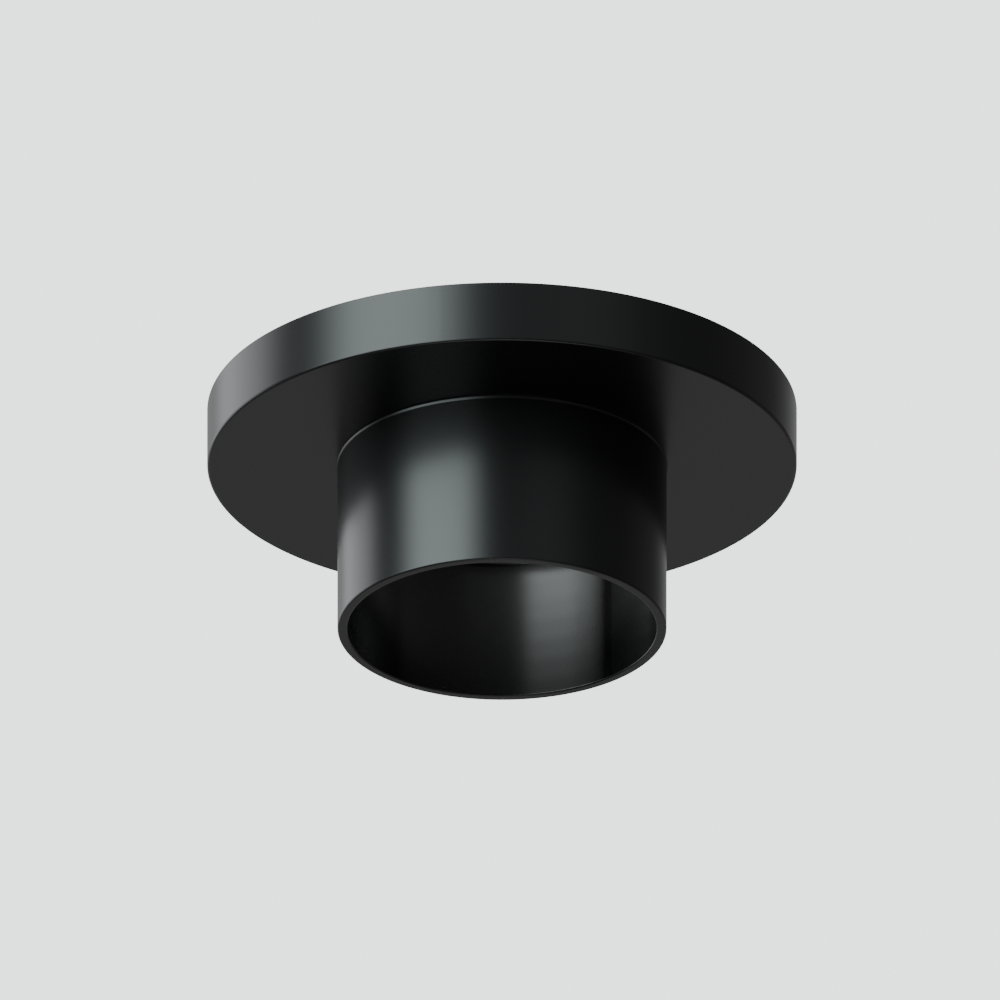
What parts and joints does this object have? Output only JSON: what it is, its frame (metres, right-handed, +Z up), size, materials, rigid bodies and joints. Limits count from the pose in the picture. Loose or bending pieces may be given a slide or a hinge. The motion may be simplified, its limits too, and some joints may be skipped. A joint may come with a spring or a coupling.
{
  "type": "soffit downlight",
  "caption": "Surface downlight for a soffit: a shallow round canopy on a twist-lock ring, with a short open barrel that screws in and seals a glass lens over a small light engine.",
  "frame": {"origin": "centre of the mounting ring's two screw slots, on the face that meets the soffit", "axes": "+Z up into the soffit along the barrel's axis, +X along the line of the two screw slots, -Y towards the pictured front; the lock screw is at the back, on +Y"},
  "size_m": [0.108, 0.108, 0.045],
  "materials": {
    "plated_steel": "satin zinc plate",
    "black_coat": "satin black powder coat",
    "black_rubber": "moulded rubber",
    "seal_foam": "closed-cell foam",
    "black_steel": "blackened steel",
    "bare_aluminium": "machined",
    "stainless": "stainless screws",
    "silicone_red": "silicone",
    "silicone_clear": "translucent silicone",
    "gap_pad": "thermal pad",
    "board_white": "white solder mask on aluminium",
    "led_package": "phosphor under a silicone dome",
    "clear_acrylic": "moulded acrylic",
    "lead_red": "PVC insulation",
    "lead_black": "PVC insulation",
    "driver_plastic": "moulded tray",
    "potting_resin": "cast resin",
    "terminal_plastic": "polyamide",
    "brass": "plain brass",
    "clamp_nylon": "natural nylon",
    "clear_glass": "toughened, polished"
  },
  "bodies": {
    "mounting": {"mounting_ring": "plated_steel", "cable_grommet": "black_rubber"},
    "canopy": {"canopy": "black_coat", "ceiling_seal": "seal_foam", "engine_body": "bare_aluminium", "engine_screws": "stainless", "engine_gasket": "silicone_red", "thermal_pad": "gap_pad", "led_board": "board_white", "led_chips": "led_package", "board_screws": "stainless", "optic": "clear_acrylic", "lead_gland": "silicone_clear", "led_lead_red": "lead_red", "led_lead_black": "lead_black", "driver_case": "driver_plastic", "driver_potting": "potting_resin", "driver_screws": "stainless", "terminal_block": "terminal_plastic", "terminal_clamps": "brass", "terminal_screws": "stainless", "terminal_fixing_screw": "stainless", "cable_clamp": "clamp_nylon", "clamp_screws": "stainless", "supply_lead_red": "lead_red", "supply_lead_black": "lead_black"},
    "lock_screw": {"lock_screw": "black_steel"},
    "glass_pack": {"lens_glass": "clear_glass", "glass_gasket": "silicone_clear"},
    "barrel": {"barrel": "black_coat", "barrel_seal": "black_rubber"}
  },
  "joints": [
    {"name": "canopy_twist", "type": "hinge", "parent": "mounting", "child": "canopy", "pos_m": [0, 0, -0.0033], "axis": [0, 0, -1], "range_deg": [0, 32]},
    {"name": "lock_screw_release", "type": "slide", "parent": "canopy", "child": "lock_screw", "axis": [0, 1, 0], "range_m": [0, 0.001]},
    {"name": "barrel_drop", "type": "slide", "parent": "canopy", "child": "glass_pack", "axis": [0, 0, -1], "range_m": [0, 0.006]},
    {"name": "barrel_unscrew", "type": "hinge", "parent": "glass_pack", "child": "barrel", "pos_m": [0, 0, -0.009], "axis": [0, 0, -1], "range_deg": [0, 1440]}
  ],
  "couplings": [
    {"joint": "barrel_drop", "follows": "barrel_unscrew", "m_per_rad": 0.00023873}
  ]
}
